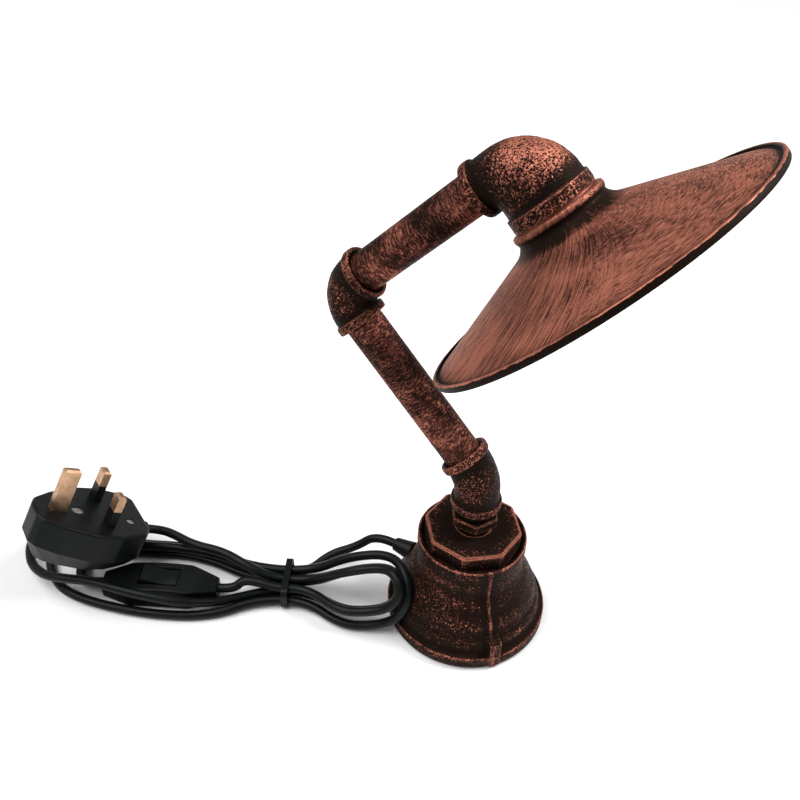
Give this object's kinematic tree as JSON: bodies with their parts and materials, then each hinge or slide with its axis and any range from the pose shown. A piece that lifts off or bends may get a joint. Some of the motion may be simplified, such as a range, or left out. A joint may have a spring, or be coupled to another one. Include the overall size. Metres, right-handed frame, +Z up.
{
  "type": "industrial table lamp",
  "caption": "Table lamp of swivelling pipe fittings on a cast reducer base, with a bell shade, inline switch and plug.",
  "frame": {"origin": "centre of the underside of the base, on the surface it stands on", "axes": "+Z up through the base; +X the way the shade faces, -X the way the arm leans first"},
  "size_m": [0.2936, 0.1992, 0.2461],
  "materials": {
    "cast_iron_painted": "dark cast iron, stippled with copper red",
    "pipe_painted": "dark pipe, brushed with copper red",
    "shade_painted": "spun shade, brushed with copper red over black",
    "base_rubber": "matt",
    "black_plastic": "satin",
    "cord_black": "satin",
    "tie_black": "satin",
    "sleeve_black": "matt",
    "pin_brass": "satin",
    "brass": "satin",
    "bright_steel": "plated",
    "fuse_ceramic": "glazed"
  },
  "bodies": {
    "base": {"base_reducer": "cast_iron_painted", "base_pad": "base_rubber", "reducing_bush": "cast_iron_painted", "hex_nipple": "cast_iron_painted", "earth_tag": "brass", "earth_screw": "bright_steel", "cable_gland": "black_plastic", "gland_nut": "black_plastic", "flex_in_base": "cord_black", "switch_base": "black_plastic", "switch_cover": "black_plastic", "switch_screws": "bright_steel", "switch_contacts": "brass", "switch_terminals": "brass", "earth_pin": "pin_brass", "line_pin": "pin_brass", "neutral_pin": "pin_brass", "pin_sleeves": "sleeve_black", "plug_screw": "bright_steel", "grip_screws": "bright_steel", "cord_grip": "black_plastic", "fuse": "fuse_ceramic", "fuse_clips": "brass", "plug_cord_sleeve": "cord_black", "plug_base": "black_plastic", "plug_cover": "black_plastic", "lamp_cord": "cord_black", "plug_cord": "cord_black", "cord_tie": "tie_black"},
    "lower_arm": {"elbow_45": "cast_iron_painted", "lower_pipe": "pipe_painted", "flex_lower": "cord_black"},
    "upper_arm": {"elbow_90": "cast_iron_painted", "upper_pipe": "pipe_painted", "flex_upper": "cord_black"},
    "head": {"head_elbow": "cast_iron_painted", "shade_washer": "pipe_painted", "shade": "shade_painted", "holder_nipple": "bright_steel", "lampholder_cap": "black_plastic", "lampholder_body": "black_plastic", "screw_shell": "brass", "centre_contact": "brass", "holder_terminals": "brass", "flex_head": "cord_black"},
    "rocker": {"switch_rocker": "black_plastic"}
  },
  "joints": [
    {"name": "base_swivel", "type": "hinge", "parent": "base", "child": "lower_arm", "pos_m": [0, 0, 0.08905], "axis": [0, 0, 1], "range_deg": [-90, 90]},
    {"name": "arm_swivel", "type": "hinge", "parent": "lower_arm", "child": "upper_arm", "pos_m": [-0.07161, 0, 0.16066], "axis": [-0.7071, 0, 0.7071], "range_deg": [-45, 45]},
    {"name": "head_swivel", "type": "hinge", "parent": "upper_arm", "child": "head", "pos_m": [-0.00451, 0.01808, 0.22776], "axis": [0.6946, 0.1872, 0.6946], "range_deg": [-60, 60]},
    {"name": "switch_rock", "type": "hinge", "parent": "base", "child": "rocker", "pos_m": [-0.13333, -0.07549, 0.0112], "axis": [0.4664, -0.8846, 0], "range_deg": [0, 22]}
  ]
}
